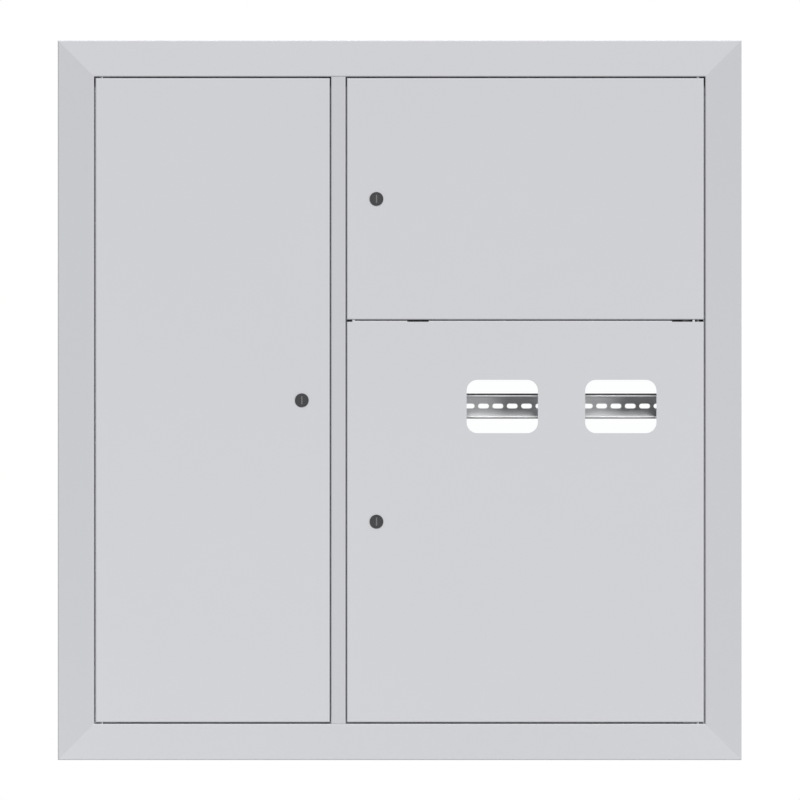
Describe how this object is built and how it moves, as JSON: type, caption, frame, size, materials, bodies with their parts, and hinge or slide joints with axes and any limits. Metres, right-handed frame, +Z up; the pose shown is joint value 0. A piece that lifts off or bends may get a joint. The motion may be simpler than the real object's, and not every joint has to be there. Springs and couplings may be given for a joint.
{
  "type": "floor distribution board",
  "caption": "Flush steel distribution board for a wall niche: bevelled trim frame, hinged locking doors, windows over meter rails, breaker and low-current bays.",
  "frame": {"origin": "middle of the trim frame, in the plane of the wall face", "axes": "+Z up, +X to the right seen from the front, +Y back into the wall"},
  "size_m": [0.95, 0.142, 1],
  "materials": {
    "trim_paint": "fine powder coat",
    "door_paint": "fine powder coat",
    "box_paint": "fine powder coat",
    "zinc_plate": "zinc plated",
    "black_plate": "black plated",
    "steel": "bright",
    "lock_body": "dark satin",
    "lock_steel": "zinc plated",
    "brass": "drawn",
    "insulator": "moulded",
    "foam": "closed-cell foam",
    "clear_pane": "clear acrylic"
  },
  "bodies": {
    "cabinet": {"bar_insulators": "insulator", "breaker_rail_lower": "zinc_plate", "breaker_rail_upper": "zinc_plate", "breaker_upright_left": "zinc_plate", "breaker_upright_right": "zinc_plate", "cover_panel": "door_paint", "cover_posts": "zinc_plate", "earth_bar": "brass", "fixing_screws": "steel", "hinge_lug": "black_plate", "hinge_pins": "steel", "left_door_seal": "foam", "low_current_plate": "box_paint", "lower_door_seal": "foam", "meter_rail_left": "zinc_plate", "meter_rail_right": "zinc_plate", "meter_upright_left": "zinc_plate", "meter_upright_middle": "zinc_plate", "meter_upright_right": "zinc_plate", "mullion": "trim_paint", "neutral_bar": "brass", "partition": "box_paint", "shelf": "box_paint", "terminal_screws": "brass", "transom": "trim_paint", "trim_bottom": "trim_paint", "trim_left": "trim_paint", "trim_right": "trim_paint", "trim_top": "trim_paint", "upper_door_seal": "foam", "wall_bottom": "box_paint", "wall_left": "box_paint", "wall_right": "box_paint", "wall_top": "box_paint"},
    "left_door": {"left_door": "door_paint", "left_door_pivots": "zinc_plate", "left_lock_barrel": "lock_body", "left_lock_nut": "lock_steel"},
    "left_lock": {"left_lock_plug": "lock_body", "left_lock_cam": "lock_steel", "left_lock_screw": "lock_steel"},
    "upper_door": {"upper_door": "door_paint", "upper_door_pivots": "zinc_plate", "upper_lock_barrel": "lock_body", "upper_lock_nut": "lock_steel"},
    "upper_lock": {"upper_lock_plug": "lock_body", "upper_lock_cam": "lock_steel", "upper_lock_screw": "lock_steel"},
    "lower_door": {"lower_door": "door_paint", "lower_door_pivots": "zinc_plate", "lower_lock_barrel": "lock_body", "lower_lock_nut": "lock_steel", "window_pane_left": "clear_pane", "window_pane_right": "clear_pane", "pane_strips": "zinc_plate"},
    "lower_lock": {"lower_lock_plug": "lock_body", "lower_lock_cam": "lock_steel", "lower_lock_screw": "lock_steel"}
  },
  "joints": [
    {"name": "left_door_hinge", "type": "hinge", "parent": "cabinet", "child": "left_door", "pos_m": [-0.414, -0.009, 0], "axis": [0, 0, -1], "range_deg": [0, 110]},
    {"name": "upper_door_hinge", "type": "hinge", "parent": "cabinet", "child": "upper_door", "pos_m": [0.414, -0.009, 0.28], "axis": [0, 0, 1], "range_deg": [0, 110]},
    {"name": "lower_door_hinge", "type": "hinge", "parent": "cabinet", "child": "lower_door", "pos_m": [0.414, -0.009, -0.169], "axis": [0, 0, 1], "range_deg": [0, 110]},
    {"name": "left_lock_turn", "type": "hinge", "parent": "left_door", "child": "left_lock", "pos_m": [-0.1358, -0.015, 0], "axis": [0, -1, 0], "range_deg": [0, 90]},
    {"name": "upper_lock_turn", "type": "hinge", "parent": "upper_door", "child": "upper_lock", "pos_m": [-0.0321, -0.015, 0.27973], "axis": [0, 1, 0], "range_deg": [0, 90]},
    {"name": "lower_lock_turn", "type": "hinge", "parent": "lower_door", "child": "lower_lock", "pos_m": [-0.0321, -0.015, -0.16853], "axis": [0, 1, 0], "range_deg": [0, 90]}
  ]
}
